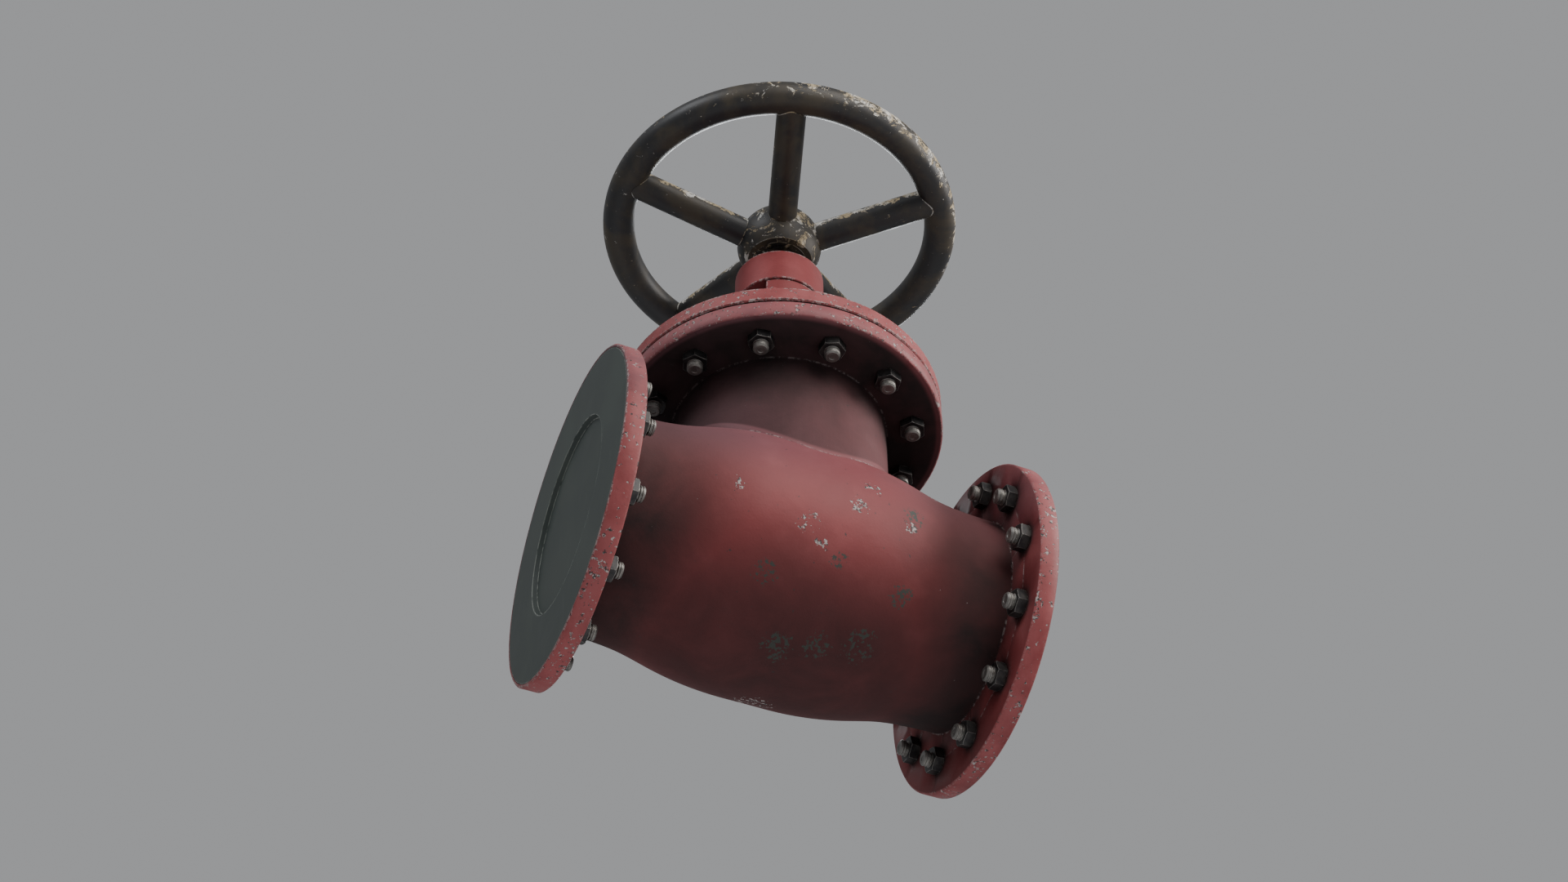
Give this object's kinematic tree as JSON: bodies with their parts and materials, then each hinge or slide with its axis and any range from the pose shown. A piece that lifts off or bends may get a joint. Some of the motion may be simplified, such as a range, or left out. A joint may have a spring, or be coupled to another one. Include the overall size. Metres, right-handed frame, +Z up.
{
  "type": "globe valve",
  "caption": "Flanged globe valve with a bulging body, bolted bonnet, yoke, rising screwed stem and spoked handwheel that lifts the disc off its seat.",
  "frame": {"origin": "centre of the outlet flange's gasket face, on the pipe axis", "axes": "+X along the pipe, out of the outlet; +Z up along the stem to the handwheel; +Y to the left of the flow"},
  "size_m": [0.438, 0.3992, 0.739],
  "materials": {
    "red_paint": "dusty red-oxide paint, chipped and grimy",
    "black_paint": "black paint, worn to pale primer on the rim",
    "cover_plastic": "dark grey-green, matte, scuffed at the edge",
    "fastener_steel": "darkened steel, lighter on the stud ends",
    "stem_steel": "ground and lightly oiled",
    "disc_steel": "machined",
    "gland_iron": "bare casting, oiled",
    "bronze": "machined bronze, dulled",
    "graphite": "graphite, matte",
    "seal_rubber": "matte"
  },
  "bodies": {
    "valve_body": {"body_barrel": "red_paint", "body_barrel_inlet_end": "red_paint", "body_barrel_outlet_end": "red_paint", "body_neck": "red_paint", "body_bonnet_flange": "red_paint", "body_inlet_flange": "red_paint", "body_outlet_flange": "red_paint", "seat_bridge": "red_paint", "seat_ring": "bronze", "inlet_studs": "fastener_steel", "inlet_nuts": "fastener_steel", "outlet_studs": "fastener_steel", "outlet_nuts": "fastener_steel", "bonnet_gasket": "graphite", "bonnet_cover": "red_paint", "bonnet_studs": "fastener_steel", "bonnet_nuts_lower": "fastener_steel", "bonnet_nuts_upper": "fastener_steel", "backseat_bush": "bronze", "packing_rings": "graphite", "gland_follower": "gland_iron", "gland_studs": "fastener_steel", "gland_nuts": "fastener_steel", "yoke": "red_paint", "yoke_bolts": "fastener_steel", "stem_nut": "bronze", "stem_nut_screw": "fastener_steel"},
    "inlet_cover": {"inlet_cover": "cover_plastic"},
    "disc_assembly": {"disc": "disc_steel", "disc_face_ring": "seal_rubber", "disc_retainer": "disc_steel"},
    "stem_and_wheel": {"stem": "stem_steel", "wheel_key": "fastener_steel", "handwheel_hub": "black_paint", "handwheel_spokes": "black_paint", "handwheel_rim": "black_paint", "wheel_washer": "fastener_steel", "wheel_nut": "fastener_steel"}
  },
  "joints": [
    {"name": "disc_lift", "type": "slide", "parent": "valve_body", "child": "disc_assembly", "axis": [0, 0, 1], "range_m": [-0.033, 0.017]},
    {"name": "wheel_turn", "type": "hinge", "parent": "disc_assembly", "child": "stem_and_wheel", "pos_m": [-0.219, 0, 0.5332], "axis": [0, 0, 1], "range_deg": [-1980, 1020]},
    {"name": "cover_pull", "type": "slide", "parent": "valve_body", "child": "inlet_cover", "axis": [-1, 0, 0], "range_m": [0, 0.03]}
  ],
  "couplings": [
    {"joint": "disc_lift", "follows": "wheel_turn", "m_per_rad": 0.00095492}
  ]
}
